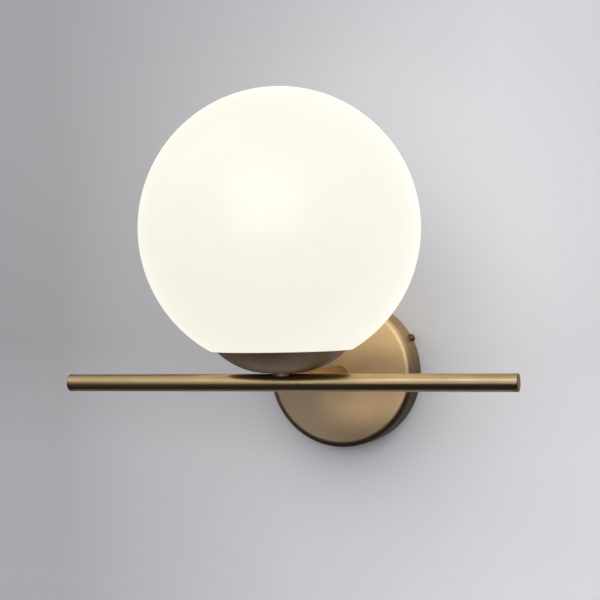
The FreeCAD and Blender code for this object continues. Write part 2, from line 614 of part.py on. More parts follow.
def bulb_cap():
    """E27 screw cap of the bulb."""
    bore = CAP_RADIUS - CAP_WALL
    tube = turned_up([(bore, CAP_Z), (CAP_RADIUS, CAP_Z), (CAP_RADIUS, CAP_TOP_Z), (bore, CAP_TOP_Z)])
    low = SHELL_RIDGE_Z + CAP_RIDGE_SHIFT * LAMP_PITCH
    ridge = helical_ridge(CAP_RADIUS, CAP_RADIUS + LAMP_RIDGE_HEIGHT, LAMP_PITCH, CAP_RIDGE_TURNS,
                          low, 360 * CAP_RIDGE_SHIFT, (LAMP_RIDGE_BASE, LAMP_RIDGE_TOP))
    return tube.fuse(ridge)


def bulb_insulator():
    """Black glass between the cap and the contact tip."""
    bore = CAP_RADIUS - CAP_WALL
    foot = TIP_Z + TIP_THICKNESS
    pin = TIP_RADIUS / 3
    return turned_up([(pin, foot), (TIP_RADIUS, foot), (CAP_RADIUS, CAP_Z), (bore, CAP_Z),
                      (bore, CAP_Z + LAMP_INSULATOR), (pin, CAP_Z + LAMP_INSULATOR)])


def bulb_tip():
    """Centre contact of the bulb, with its pin through the insulator."""
    pin = TIP_RADIUS / 3
    under = TIP_Z + TIP_THICKNESS
    top = CAP_Z + LAMP_INSULATOR
    return turned_up([(0, TIP_Z), (TIP_RADIUS - TIP_THICKNESS / 2, TIP_Z), (TIP_RADIUS, under),
                      (pin, under), (pin, top), (0, top)])


def bulb_envelope():
    """Clear glass ball with a neck that is cemented in the cap."""
    centre = (0, BULB_TOP_Z - BULB_RADIUS)
    inner = BULB_RADIUS - BULB_WALL
    neck = CAP_RADIUS - CAP_WALL
    bore = neck - BULB_WALL
    return turned_up([
        (neck, BULB_FOOT_Z), (neck, CAP_TOP_Z), on_circle(centre, BULB_RADIUS, BULB_JOIN_ANGLE),
        arc_middle(centre, BULB_RADIUS, BULB_JOIN_ANGLE, 90), on_circle(centre, BULB_RADIUS, 90),
        on_circle(centre, inner, 90), arc_middle(centre, inner, 90, BULB_JOIN_ANGLE),
        on_circle(centre, inner, BULB_JOIN_ANGLE), (bore, CAP_TOP_Z), (bore, BULB_FOOT_Z)])


def bulb_stem():
    """Glass stem inside the bulb: a flared foot sealed to the neck and a rod."""
    bore = CAP_RADIUS - CAP_WALL - BULB_WALL
    return turned_up([
        (0, BULB_FOOT_Z), (bore, BULB_FOOT_Z), (bore, BULB_FOOT_Z + BULB_WALL),
        (STEM_RADIUS, BULB_FOOT_Z + 2 * STEM_RADIUS), (STEM_RADIUS, STEM_TOP_Z), (0, STEM_TOP_Z)])


def filament_spot(index):
    """Foot of one of the four filaments."""
    angle = math.radians(45 + 90 * index)
    return on_shade_axis(FILAMENT_CIRCLE * math.cos(angle), FILAMENT_CIRCLE * math.sin(angle), FILAMENT_Z)


def bulb_filaments():
    """Four upright filament rods."""
    return Part.makeCompound([rod(FILAMENT_RADIUS, FILAMENT_LENGTH, filament_spot(index), UP)
                              for index in range(4)])


def bulb_frame():
    """Wires that hold the filaments to the stem, at their feet and their tops."""
    axis = on_shade_axis(0, 0, FILAMENT_Z)
    foot = on_shade_axis(0, 0, STEM_TOP_Z)
    top = on_shade_axis(0, 0, FILAMENT_Z + FILAMENT_LENGTH + FRAME_WIRE_RADIUS)
    mast = rod(FRAME_WIRE_RADIUS, top.z - foot.z + FRAME_WIRE_RADIUS, foot, UP)
    feet = []
    for index in range(4):
        outward = (filament_spot(index) - axis).normalize()
        inner = axis + outward * STEM_RADIUS - UP * FRAME_WIRE_RADIUS
        feet.append(rod(FRAME_WIRE_RADIUS, FILAMENT_CIRCLE - STEM_RADIUS + FILAMENT_RADIUS, inner, outward))
        mast = mast.fuse(rod(FRAME_WIRE_RADIUS, FILAMENT_CIRCLE + FILAMENT_RADIUS, top, outward))
    return Part.makeCompound(feet + [mast])


def block_way(way, radius):
    """Upright hole of one way of the terminal block."""
    return rod(radius, BLOCK_HEIGHT, V(block_x(way), -SLEEVE_OUT, BLOCK_Z), UP)


def clamp_holes(way, radius):
    """Two holes from the block's front to the sleeve of one way."""
    holes = []
    for side in (-1, 1):
        start = V(block_x(way), -BLOCK_FACE, BLOCK_MID_Z + side * CLAMP_SPACING / 2)
        holes.append(rod(radius, BLOCK_FACE - SLEEVE_OUT - WIRE_RADIUS, start, ALONG_Y))
    return holes


def terminal_block():
    """Three-way block on the mounting plate."""
    body = Part.makeBox(BLOCK_WIDTH, BLOCK_DEPTH, BLOCK_HEIGHT, V(-BLOCK_WIDTH / 2, -BLOCK_FACE, BLOCK_Z))
    for way in (-1, 0, 1):
        body = body.cut([block_way(way, SLEEVE_RADIUS)] + clamp_holes(way, CLAMP_RADIUS + SCREW_CLEARANCE))
    start = V(block_x(SCREW_WAY), -BLOCK_FACE, BLOCK_MID_Z)
    body = body.cut(rod(BLOCK_SCREW_RADIUS, BLOCK_DEPTH, start, ALONG_Y))
    return body


def terminal_sleeves():
    """Brass sleeves of the terminal block."""
    sleeves = []
    for way in (-1, 0, 1):
        sleeve = block_way(way, SLEEVE_RADIUS).cut(block_way(way, SLEEVE_BORE_RADIUS))
        sleeves.append(sleeve.cut(clamp_holes(way, CLAMP_RADIUS)))
    return Part.makeCompound(sleeves)


def terminal_screws():
    """Clamp screws of the terminal block, two in each way."""
    screws = []
    for way in (-1, 0, 1):
        for hole in clamp_holes(way, CLAMP_RADIUS):
            recess = Part.makeBox(BLOCK_WIDTH * 2, SLEEVE_RADIUS, BLOCK_HEIGHT * 2,
                                  V(-BLOCK_WIDTH, -BLOCK_FACE, BLOCK_Z - BLOCK_HEIGHT / 2))
            screws.append(hole.cut(recess))
    return Part.makeCompound(screws)


def block_screw():
    """Screw that fixes the terminal block to the mounting plate."""
    face = V(block_x(SCREW_WAY), -BLOCK_FACE, BLOCK_MID_Z)
    shank = rod(BLOCK_SCREW_RADIUS, BLOCK_FACE, face, ALONG_Y)
    head = rod(BLOCK_HEAD_RADIUS, BLOCK_HEAD_HEIGHT, face, -ALONG_Y)
    return shank.fuse(head).removeSplitter()


def shade_wire(side):
    """Insulated wire from the terminal block through arm and bar to a lampholder terminal."""
    x = side * WIRE_OFFSET
    way_x = block_x((side + 1) / 2)
    sleeve = BLOCK_TOP_Z - WIRE_ENTRY
    splay_z = BASE_Z + 2 * BASE_WALL
    reach = -SLEEVE_OUT
    points = [V(way_x, reach, sleeve), V(way_x, reach, BLOCK_TOP_Z + 2 * WIRE_BEND), V(x, reach, 0),
              on_shade_axis(x, 0, 0), on_shade_axis(x, 0, splay_z),
              on_shade_axis(side * TERMINAL_X, 0, splay_z + WIRE_BEND / 2),
              on_shade_axis(side * TERMINAL_X, 0, INSERT_Z + WIRE_ENTRY)]
    return wire_run(points, WIRE_BEND / 2, WIRE_RADIUS)


def wire_live():
    """Live wire."""
    return shade_wire(-1)


def wire_neutral():
    """Neutral wire."""
    return shade_wire(1)


def earth_lug():
    """Eyelet under the earth screw, with a barrel for the wire."""
    ring = rod(EARTH_HEAD_RADIUS, SHEET, V(EARTH_X, -PLATE_THICKNESS, EARTH_Z), -ALONG_Y)
    barrel_radius = WIRE_RADIUS + SHEET / 2
    out = PLATE_THICKNESS + barrel_radius
    foot = V(EARTH_X, -out, EARTH_Z + EARTH_HEAD_RADIUS)
    barrel = rod(barrel_radius, WIRE_ENTRY, foot, UP)
    corner = V(EARTH_X - barrel_radius, -PLATE_THICKNESS - SHEET, foot.z - barrel_radius)
    bridge = Part.makeBox(2 * barrel_radius, SHEET, 2 * barrel_radius, corner)
    ring = ring.fuse([bridge, barrel])
    return ring.cut([rod(EARTH_SCREW_RADIUS, PLATE_THICKNESS + SHEET, V(EARTH_X, 0, EARTH_Z), -ALONG_Y),
                     rod(WIRE_RADIUS, WIRE_ENTRY, foot, UP)]).removeSplitter()


def earth_screw():
    """Earth screw in the mounting plate."""
    head_out = PLATE_THICKNESS + SHEET
    shank = rod(EARTH_SCREW_RADIUS, EARTH_SCREW_LENGTH, V(EARTH_X, 0, EARTH_Z), -ALONG_Y)
    head = rod(EARTH_HEAD_RADIUS, EARTH_HEAD_HEIGHT, V(EARTH_X, -head_out, EARTH_Z), -ALONG_Y)
    return shank.fuse(head).removeSplitter()


def wire_earth():
    """Earth wire from the terminal block to the earth lug."""
    out = PLATE_THICKNESS + WIRE_RADIUS + SHEET / 2
    barrel_foot = EARTH_Z + EARTH_HEAD_RADIUS
    top = barrel_foot + EARTH_RISE
    points = [V(block_x(-1), -SLEEVE_OUT, BLOCK_TOP_Z - WIRE_ENTRY), V(block_x(-1), -SLEEVE_OUT, top),
              V(EARTH_X, -out, top), V(EARTH_X, -out, barrel_foot + EARTH_STRIP)]
    return wire_run(points, WIRE_BEND, WIRE_RADIUS)


PIECES = (
    mounting_plate, canopy, canopy_screws, arm_stud, arm_washer, arm_nut, arm_tube, crossbar,
    crossbar_end_caps, cup_saddle, cup_stud, cup, glass_fitter, fitter_nut, glass_gasket, globe_glass,
    lampholder_base, lampholder_insert, lampholder_terminals, lampholder_screws, lampholder_shell,
    lampholder_contact, lampholder_skirt, bulb_cap, bulb_insulator, bulb_tip, bulb_envelope, bulb_stem,
    bulb_filaments, bulb_frame, terminal_block, terminal_sleeves, terminal_screws, block_screw, wire_live,
    wire_neutral, wire_earth, earth_lug, earth_screw)


def main():
    """Write each piece to its own file."""
    os.makedirs("parts", exist_ok=True)
    for piece in PIECES:
        piece().exportStep("parts/" + piece.__name__ + ".step")


main()
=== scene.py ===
"""Finishes, wall, lamp and camera for the globe wall sconce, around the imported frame.

All sizes are in metres in the row frame: +Z up, the wall at Y = 0, the object on its -Y side.
"""
import logging
import math
from dataclasses import dataclass
from enum import Enum

import bpy
from mathutils import Matrix, Vector


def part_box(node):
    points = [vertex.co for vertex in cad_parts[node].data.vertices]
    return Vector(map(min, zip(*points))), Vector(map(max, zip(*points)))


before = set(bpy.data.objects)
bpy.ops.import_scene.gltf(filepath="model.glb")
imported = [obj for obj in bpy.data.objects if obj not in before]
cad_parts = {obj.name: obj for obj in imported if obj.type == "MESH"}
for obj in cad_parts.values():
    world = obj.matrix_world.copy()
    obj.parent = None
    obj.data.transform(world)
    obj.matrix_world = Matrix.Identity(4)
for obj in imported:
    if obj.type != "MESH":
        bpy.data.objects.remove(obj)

LOG = logging.getLogger("sconce")

Colour = tuple[float, float, float]
Span = tuple[float, float]
Socket = bpy.types.NodeSocket
Value = Socket | Colour | float


class Grain(Enum):
    """Direction of the fine lines that a finish was brushed or turned with."""

    ROUND_WALL_AXIS = "y"
    ALONG_BAR = "x"
    ROUND_SHADE_AXIS = "z"
    NONE = "none"


class Shader:
    """A material's node tree, built one node at a time."""

    output_kind: str = "ShaderNodeOutputMaterial"

    def __init__(self, name: str) -> None:
        """Start a tree that holds only its output.

        Args:
            name: The name of what owns the tree.
        """
        self.owner = self._owner(name)
        self.owner.use_nodes = True
        self.tree = self.owner.node_tree
        self.tree.nodes.clear()
        self.output = self.tree.nodes.new(self.output_kind)

    def _owner(self, name: str) -> bpy.types.Material | bpy.types.World:
        """Make the material that owns the tree."""
        return bpy.data.materials.new(name)

    def _set(self, socket: Socket, value: Value) -> None:
        """Link an input to a socket, or give it a value; a colour gets full alpha.

        Args:
            socket: The input.
            value: A socket, a colour or a number.
        """
        if isinstance(value, Socket):
            self.tree.links.new(value, socket)
        elif socket.type == "RGBA":
            socket.default_value = (*value, 1.0)
        else:
            socket.default_value = value

    def node(self, kind: str, settings: dict[str, str] | None = None, **inputs: Value) -> bpy.types.Node:
        """Add a node and set its inputs.

        Args:
            kind: Blender's name for the node type, without the ShaderNode prefix.
            settings: Properties of the node itself.
            inputs: Values or sockets by input name, with underscores for spaces.

        Returns:
            The new node.
        """
        made = self.tree.nodes.new("ShaderNode" + kind)
        for key, value in (settings or {}).items():
            setattr(made, key, value)
        for key, value in inputs.items():
            self._set(made.inputs[key.replace("_", " ")], value)
        return made

    def place(self) -> Socket:
        """Object coordinates of the shaded point."""
        return self.node("TexCoord").outputs["Object"]

    def split(self, place: Socket) -> bpy.types.NodeOutputs:
        """The X, Y and Z of a place."""
        return self.node("SeparateXYZ", Vector=place).outputs

    def maths(self, operation: str, *terms: Value) -> Socket:
        """Work out one number from others.

        Args:
            operation: Blender's name for the operation.
            terms: The numbers or sockets that it takes.

        Returns:
            The result.
        """
        made = self.node("Math", {"operation": operation})
        for socket, term in zip(made.inputs, terms):
            self._set(socket, term)
        return made.outputs["Value"]

    def ramp(self, value: Socket, span: Span, least: float = 0.0, most: float = 1.0,
             smooth: bool = False) -> Socket:
        """Go from one number to another while a value crosses a span.

        Args:
            value: What is watched.
            span: The value at the start and at the end.
            least: The result at the start.
            most: The result at the end.
            smooth: Whether both ends are eased.

        Returns:
            The result.
        """
        settings = {"interpolation_type": "SMOOTHSTEP"} if smooth else None
        made = self.node("MapRange", settings, Value=value, From_Min=span[0], From_Max=span[1],
                         To_Min=least, To_Max=most)
        return made.outputs["Result"]

    def noise(self, place: Socket, scale: float, detail: float) -> Socket:
        """Cloudy noise between 0 and 1.

        Args:
            place: The coordinates it lies in.
            scale: Clouds in a metre.
            detail: How finely each cloud is broken up.

        Returns:
            The noise.
        """
        return self.node("TexNoise", Vector=place, Scale=scale, Detail=detail).outputs["Fac"]

    def bump(self, height: Socket, strength: float, distance: float) -> Socket:
        """Raise the surface.

        Args:
            height: How far up each point lies, from 0 to 1.
            strength: Share of the effect.
            distance: Height that 1 stands for.

        Returns:
            The surface normal.
        """
        return self.node("Bump", Strength=strength, Distance=distance, Height=height).outputs["Normal"]

    def distance(self, first: Socket, second: Socket) -> Socket:
        """Work out the distance from an axis.

        Args:
            first: One coordinate across the axis.
            second: The other.

        Returns:
            The distance.
        """
        flat = self.node("CombineXYZ", X=first, Y=second).outputs["Vector"]
        return self.node("VectorMath", {"operation": "LENGTH"}, Vector=flat).outputs["Value"]

    def mix(self, factor: Value, first: Value, second: Value) -> Socket:
        """Blend two colours.

        Args:
            factor: Share of the second colour.
            first: Colour shown where the factor is 0.
            second: Colour shown where the factor is 1.

        Returns:
            The blended colour.
        """
        made = self.node("Mix", {"data_type": "RGBA"})
        for index, value in ((0, factor), (6, first), (7, second)):
            self._set(made.inputs[index], value)
        return made.outputs[2]

    def mix_surfaces(self, factor: Value, first: Socket, second: Socket) -> Socket:
        """Blend two surfaces.

        Args:
            factor: Share of the second surface.
            first: Surface shown where the factor is 0.
            second: Surface shown where the factor is 1.

        Returns:
            The blended surface.
        """
        made = self.node("MixShader")
        for socket, value in zip(made.inputs, (factor, first, second)):
            self._set(socket, value)
        return made.outputs["Shader"]

    def blend(self, place: Socket, stops: tuple[float, ...], tones: list[Value]) -> Socket:
        """Blend tones along one direction.

        Args:
            place: The coordinate along that direction.
            stops: Where each tone is reached.
            tones: A colour for each stop.

        Returns:
            The blended colour.
        """
        colour = tones[0]
        for start, end, tone in zip(stops, stops[1:], tones[1:]):
            colour = self.mix(self.ramp(place, (start, end)), colour, tone)
        return colour

    def finish(self, surface: Socket) -> bpy.types.Material | bpy.types.World:
        """Link the surface to the output and hand over what owns the tree."""
        self.tree.links.new(surface, self.output.inputs["Surface"])
        return self.owner


class RoomShader(Shader):
    """The world's node tree."""

    output_kind: str = "ShaderNodeOutputWorld"

    def _owner(self, name: str) -> bpy.types.World:
        """Make the world that owns the tree."""
        return bpy.data.worlds.new(name)


@dataclass(frozen=True)
class Finish:
    """A named finish."""

    name: str

    def material(self) -> bpy.types.Material:
        """Build the material.

        Returns:
            The finished material.
        """
        raise NotImplementedError


@dataclass(frozen=True)
class AgedBrass(Finish):
    """Antique brass: brushed metal, darker where it has aged, under a satin lacquer."""

    grain: Grain
    bright: Colour = (0.60, 0.42, 0.24)
    aged: Colour = (0.48, 0.33, 0.19)
    roughness: float = 0.2
    aged_roughness: float = 0.05
    patch_scale: float = 28.0
    patch_detail: float = 3.0
    patch_edge: Span = (0.35, 0.65)
    line_scale: float = 2600.0
    line_stretch: float = 80.0
    line_detail: float = 2.0
    line_strength: float = 0.02
    line_depth: float = 0.0004
    lacquer: float = 0.25
    lacquer_roughness: float = 0.2
    edge_tone: Colour = (0.55, 0.42, 0.28)

    def material(self) -> bpy.types.Material:
        """Build the material.

        Returns:
            The finished material.
        """
        shader = Shader(self.name)
        place = shader.place()
        patches = shader.ramp(shader.noise(place, self.patch_scale, self.patch_detail), self.patch_edge)
        # Painted light and shade by place, for the finishes that have it.
        colour = self._painted_light_and_shade(shader, place, shader.mix(patches, self.bright, self.aged))
        roughness = shader.ramp(patches, (0.0, 1.0), self.roughness, self.roughness + self.aged_roughness)
        surface = shader.node("BsdfPrincipled", Base_Color=colour, Metallic=1.0, Roughness=roughness,
                              Coat_Weight=self.lacquer, Coat_Roughness=self.lacquer_roughness,
                              Specular_Tint=self.edge_tone)
        if self.grain is not Grain.NONE:
            lines = shader.noise(self._line_place(shader, place), 1.0, self.line_detail)
            normal = shader.bump(lines, self.line_strength, self.line_depth)
            shader.tree.links.new(normal, surface.inputs["Normal"])
        return shader.finish(surface.outputs["BSDF"])

    def _painted_light_and_shade(self, shader: Shader, place: Socket, colour: Socket) -> Socket:
        """Paint light and shade into the metal's colour by place; plain pieces keep their colour.

        Args:
            shader: The node tree to add to.
            place: Object coordinates.
            colour: The metal's own colour.

        Returns:
            The colour with any painted light and shade.
        """
        return colour

    def _line_place(self, shader: Shader, place: Socket) -> Socket:
        """Stretch the texture space so that noise becomes fine lines along the grain.

        Args:
            shader: The node tree to add to.
            place: Object coordinates.

        Returns:
            The stretched coordinates.
        """
        dense = self.line_scale
        if self.grain is Grain.ALONG_BAR:
            scale = (dense / self.line_stretch, dense, dense)
            return shader.node("Mapping", Vector=place, Scale=scale).outputs["Vector"]
        parts = shader.split(place)
        if self.grain is Grain.ROUND_WALL_AXIS:
            radius = shader.distance(parts["X"], parts["Z"])
            along = parts["Y"]
        else:
            radius = shader.distance(parts["X"], shader.maths("SUBTRACT", parts["Y"], shade_axis_y()))
            along = parts["Z"]
        turned = shader.node("CombineXYZ", X=radius, Y=along).outputs["Vector"]
        return shader.node("Mapping", Vector=turned, Scale=(dense, dense, 1.0)).outputs["Vector"]


@dataclass(frozen=True)
class CanopyBrass(AgedBrass):
    """Antique brass of the canopy with painted light and shade: a painted highlight at the crown, painted
    shade at the foot, browner to the left, and dark on the side, darkest underneath.
    """

    # Painted highlight at the crown; painted shade at the foot, to the left and on the side, heaviest
    # underneath.
    crown_painted_highlight: Colour = (0.98, 0.69, 0.375)
    crown_rise: Span = (-0.005, 0.028)
    foot_painted_shade: Colour = (0.28, 0.20, 0.115)
    foot_drop: Span = (-0.025, -0.052)
    left_painted_shade: Colour = (0.37, 0.275, 0.192)
    left_reach: Span = (0.012, -0.03)
    side_painted_shade: Colour = (0.06, 0.047, 0.034)
    side_inset: Span = (0.005, 0.0015)
    side_drop: Span = (0.035, -0.02)
    side_least_above: float = 0.36
    side_reach: Span = (-0.055, -0.02)
    side_least_left: float = 0.45

    def _painted_light_and_shade(self, shader: Shader, place: Socket, colour: Socket) -> Socket:
        """Paint a highlight at the crown and shade at the foot and to the left, then paint shade on the
        side.

        Args:
            shader: The node tree to add to.
            place: Object coordinates.
            colour: The metal's own colour.

        Returns:
            The colour with the painted highlight and shade.
        """
        parts = shader.split(place)
        # Painted highlight at the crown, painted shade at the foot and to the left.
        crown = shader.ramp(parts["Z"], self.crown_rise, smooth=True)
        foot = shader.ramp(parts["Z"], self.foot_drop, smooth=True)
        left = shader.ramp(parts["X"], self.left_reach, smooth=True)
        face = shader.mix(crown, colour, self.crown_painted_highlight)
        face = shader.mix(foot, face, self.foot_painted_shade)
        face = shader.mix(left, face, self.left_painted_shade)
        # Painted shade on the side, heavier below and away from the left.
        starts, full = (canopy_radius() - inset for inset in self.side_inset)
        side = shader.ramp(shader.distance(parts["X"], parts["Z"]), (starts, full), smooth=True)
        below = shader.ramp(parts["Z"], self.side_drop, least=self.side_least_above)
        right = shader.ramp(parts["X"], self.side_reach, least=self.side_least_left)
        share = shader.maths("MULTIPLY", shader.maths("MULTIPLY", side, below), right)
        return shader.mix(share, face, self.side_painted_shade)


@dataclass(frozen=True)
class BarBrass(AgedBrass):
    """Antique brass of the crossbar with painted shade: darker along its front, on its shoulder, underneath
    and on its end faces.
    """

    # Painted shade: along the front to the right, on the shoulder to the left, underneath and on both end
    # faces.
    front_painted_shade: Colour = (0.20, 0.15, 0.09)
    front_drop: Span = (0.0029, 0.0010)
    front_reach: Span = (-0.10, 0.11)
    shoulder_painted_shade: Colour = (0.40, 0.285, 0.155)
    shoulder_rise: Span = (0.0024, 0.0036)
    shoulder_reach: Span = (0.11, -0.10)
    shoulder_most: float = 0.9
    under_painted_shade: Colour = (0.20, 0.14, 0.075)
    under_drop: Span = (-0.0005, -0.0045)
    end_painted_shade: Colour = (0.10, 0.07, 0.04)
    end_inset: Span = (0.0008, 0.0002)

    def _painted_light_and_shade(self, shader: Shader, place: Socket, colour: Socket) -> Socket:
        """Paint shade on the front to the right, the shoulder to the left, the underside and both end faces.

        Args:
            shader: The node tree to add to.
            place: Object coordinates.
            colour: The metal's own colour.

        Returns:
            The colour with the painted shade.
        """
        parts = shader.split(place)
        # Painted shade over the highlight: along the front to the right and on the shoulder to the left.
        front = shader.maths("MULTIPLY", shader.ramp(parts["X"], self.front_reach),
                             shader.ramp(parts["Z"], self.front_drop, smooth=True))
        shoulder = shader.maths("MULTIPLY",
                                shader.ramp(parts["X"], self.shoulder_reach, most=self.shoulder_most),
                                shader.ramp(parts["Z"], self.shoulder_rise, smooth=True))
        colour = shader.mix(front, colour, self.front_painted_shade)
        colour = shader.mix(shoulder, colour, self.shoulder_painted_shade)
        # Painted shade underneath.
        colour = shader.mix(shader.ramp(parts["Z"], self.under_drop), colour, self.under_painted_shade)
        # Painted shade on both end faces.
        starts, full = (bar_half_length() - inset for inset in self.end_inset)
        end = shader.ramp(shader.maths("ABSOLUTE", parts["X"]), (starts, full))
        return shader.mix(end, colour, self.end_painted_shade)


@dataclass(frozen=True)
class OpalGlass(Finish):
    """Blown opal glass with a soft inner glow under a satin skin."""

    name: str = "opal_glass"
    body: Colour = (0.08, 0.08, 0.078)
    glow: Colour = (1.0, 0.968, 0.85)
    glow_strength: float = 0.87
    roughness: float = 0.35
    refraction: float = 1.5

    def material(self) -> bpy.types.Material:
        """Build the material.

        Returns:
            The finished material.
        """
        shader = Shader(self.name)
        surface = shader.node("BsdfPrincipled", Base_Color=self.body, Roughness=self.roughness,
                              Emission_Color=self.glow, Emission_Strength=self.glow_strength,
                              IOR=self.refraction)
        return shader.finish(surface.outputs["BSDF"])


@dataclass(frozen=True)
class ClearGlass(Finish):
    """Thin clear glass of the bulb."""

    name: str = "clear_glass"
    tint: Colour = (0.97, 0.99, 0.99)
    roughness: float = 0.02
    refraction: float = 1.45

    def material(self) -> bpy.types.Material:
        """Build the material.

        Returns:
            The finished material.
        """
        shader = Shader(self.name)
        surface = shader.node("BsdfPrincipled", Base_Color=self.tint, Roughness=self.roughness,
                              Transmission_Weight=1.0, IOR=self.refraction)
        return shader.finish(surface.outputs["BSDF"])


@dataclass(frozen=True)
class Metal(Finish):
    """Plain plated or polished metal with slight cloudiness."""

    colour: Colour
    roughness: float = 0.3
    cloud: float = 0.08
    cloud_scale: float = 90.0
    cloud_detail: float = 4.0
    cloud_shade: float = 0.86

    def material(self) -> bpy.types.Material:
        """Build the material.

        Returns:
            The finished material.
        """
        shader = Shader(self.name)
        place = shader.place()
        clouds = shader.noise(place, self.cloud_scale, self.cloud_detail)
        roughness = shader.ramp(clouds, (0.0, 1.0), self.roughness - self.cloud / 2,
                                self.roughness + self.cloud / 2)
        darker = tuple(channel * self.cloud_shade for channel in self.colour)
        colour = shader.mix(clouds, self.colour, darker)
        surface = shader.node("BsdfPrincipled", Base_Color=colour, Metallic=1.0, Roughness=roughness)
        relief = self._relief(shader, place)
        if relief is not None:
            shader.tree.links.new(relief, surface.inputs["Normal"])
        return shader.finish(surface.outputs["BSDF"])

    def _relief(self, shader: Shader, place: Socket) -> Socket | None:
        """Relief on the surface; plain metal has none.

        Args:
            shader: The node tree to add to.
            place: Object coordinates.

        Returns:
            A surface normal, or nothing.
        """
        return None


@dataclass(frozen=True)
class ThreadedMetal(Metal):
    """Plated metal whose screw thread shows as fine rings along one axis."""

    along: str = "Z"
    pitch: float = 0.001
    depth: float = 0.0003
    strength: float = 0.8

    def _relief(self, shader: Shader, place: Socket) -> Socket | None:
        """Thread rings, one to a pitch.

        Args:
            shader: The node tree to add to.
            place: Object coordinates.

        Returns:
            The surface normal with the rings on it.
        """
        turns = shader.maths("DIVIDE", shader.split(place)[self.along], self.pitch)
        return shader.bump(shader.maths("PINGPONG", turns, 0.5), self.strength, self.depth)


@dataclass(frozen=True)
class Moulded(Finish):
    """Moulded plastic, ceramic or rubber with a faint unevenness."""

    colour: Colour
    roughness: float = 0.45
    grain_shade: float = 0.04
    grain_scale: float = 700.0
    grain_detail: float = 2.0
    grain_strength: float = 0.08
    grain_depth: float = 0.0001

    def material(self) -> bpy.types.Material:
        """Build the material.

        Returns:
            The finished material.
        """
        shader = Shader(self.name)
        grain = shader.noise(shader.place(), self.grain_scale, self.grain_detail)
        darker = tuple(channel * (1 - self.grain_shade) for channel in self.colour)
        surface = shader.node("BsdfPrincipled", Base_Color=shader.mix(grain, self.colour, darker),
                              Roughness=self.roughness,
                              Normal=shader.bump(grain, self.grain_strength, self.grain_depth))
        return shader.finish(surface.outputs["BSDF"])


@dataclass(frozen=True)
class StripedSleeve(Finish):
    """Earth wire insulation: green with yellow stripes along it."""

    name: str = "wire_green_yellow"
    green: Colour = (0.05, 0.32, 0.08)
    yellow: Colour = (0.85, 0.72, 0.05)
    wave_scale: float = 65.0
    stripe_edge: Span = (0.48, 0.52)
    roughness: float = 0.45

    def material(self) -> bpy.types.Material:
        """Build the material.

        Returns:
            The finished material.
        """
        shader = Shader(self.name)
        wave = shader.node("TexWave", {"bands_direction": "DIAGONAL"}, Vector=shader.place(),
                           Scale=self.wave_scale)
        colour = shader.mix(shader.ramp(wave.outputs["Fac"], self.stripe_edge), self.green, self.yellow)
        surface = shader.node("BsdfPrincipled", Base_Color=colour, Roughness=self.roughness)
        return shader.finish(surface.outputs["BSDF"])


def shade_axis_y() -> float:
    """Place of the shade's upright axis along Y, from the glass's box."""
    low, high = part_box("globe_glass")
    return (low.y + high.y) / 2


def canopy_radius() -> float:
    """Outer radius of the canopy, from its box."""
    low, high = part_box("canopy")
    return (high.x - low.x) / 2


def bar_half_length() -> float:
    """Half the length of the crossbar with its end caps, from their box."""
    low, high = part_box("crossbar_end_caps")
    return (high.x - low.x) / 2


def paint(material: bpy.types.Material, name: str) -> None:
    """Give a CAD node one material.

    Args:
        material: The finish.
        name: The node.
    """
    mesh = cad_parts[name].data
    mesh.materials.clear()
    mesh.materials.append(material)


@dataclass
class SubAssembly:
    """A group of CAD nodes that is dressed together."""

    label: str = "sub-assembly"

    def coats(self) -> dict[Finish, tuple[str, ...]]:
        """Say which nodes take which finish.

        Returns:
            The nodes' names by finish.
        """
        raise NotImplementedError

    def dress(self) -> dict[str, str]:
        """Give every node of the group its finish.

        Returns:
            The finish's name by node.
        """
        dressed = {}
        for finish, names in self.coats().items():
            material = finish.material()
            for name in names:
                paint(material, name)
                dressed[name] = finish.name
        return dressed


@dataclass
class WallFixing(SubAssembly):
    """Mounting plate, terminal block and the small hardware of the canopy, cup and lampholder."""

    label: str = "wall fixing"
    zinc: Metal = Metal("zinc_steel", (0.62, 0.62, 0.60), 0.34)
    arm_thread: ThreadedMetal = ThreadedMetal("zinc_steel_arm_thread", (0.60, 0.60, 0.58), along="Y")
    cup_thread: ThreadedMetal = ThreadedMetal("zinc_steel_cup_thread", (0.60, 0.60, 0.58))
    brass: Metal = Metal("terminal_brass", (0.80, 0.62, 0.30), 0.28)
    tin: Metal = Metal("tinned_copper", (0.70, 0.68, 0.64), 0.3)
    block: Moulded = Moulded("block_plastic", (0.84, 0.82, 0.76))

    def coats(self) -> dict[Finish, tuple[str, ...]]:
        """Dress plate, nuts, screws and terminals.

        Returns:
            The nodes' names by finish.
        """
        return {
            self.zinc: ("mounting_plate", "arm_washer", "arm_nut", "block_screw", "terminal_screws",
                        "glass_fitter", "fitter_nut", "lampholder_screws"),
            self.arm_thread: ("arm_stud",),
            self.cup_thread: ("cup_stud",),
            self.brass: ("terminal_sleeves", "earth_screw", "lampholder_terminals", "lampholder_contact",
                         "lampholder_shell"),
            self.tin: ("earth_lug", "bulb_tip"),
            self.block: ("terminal_block",),
        }


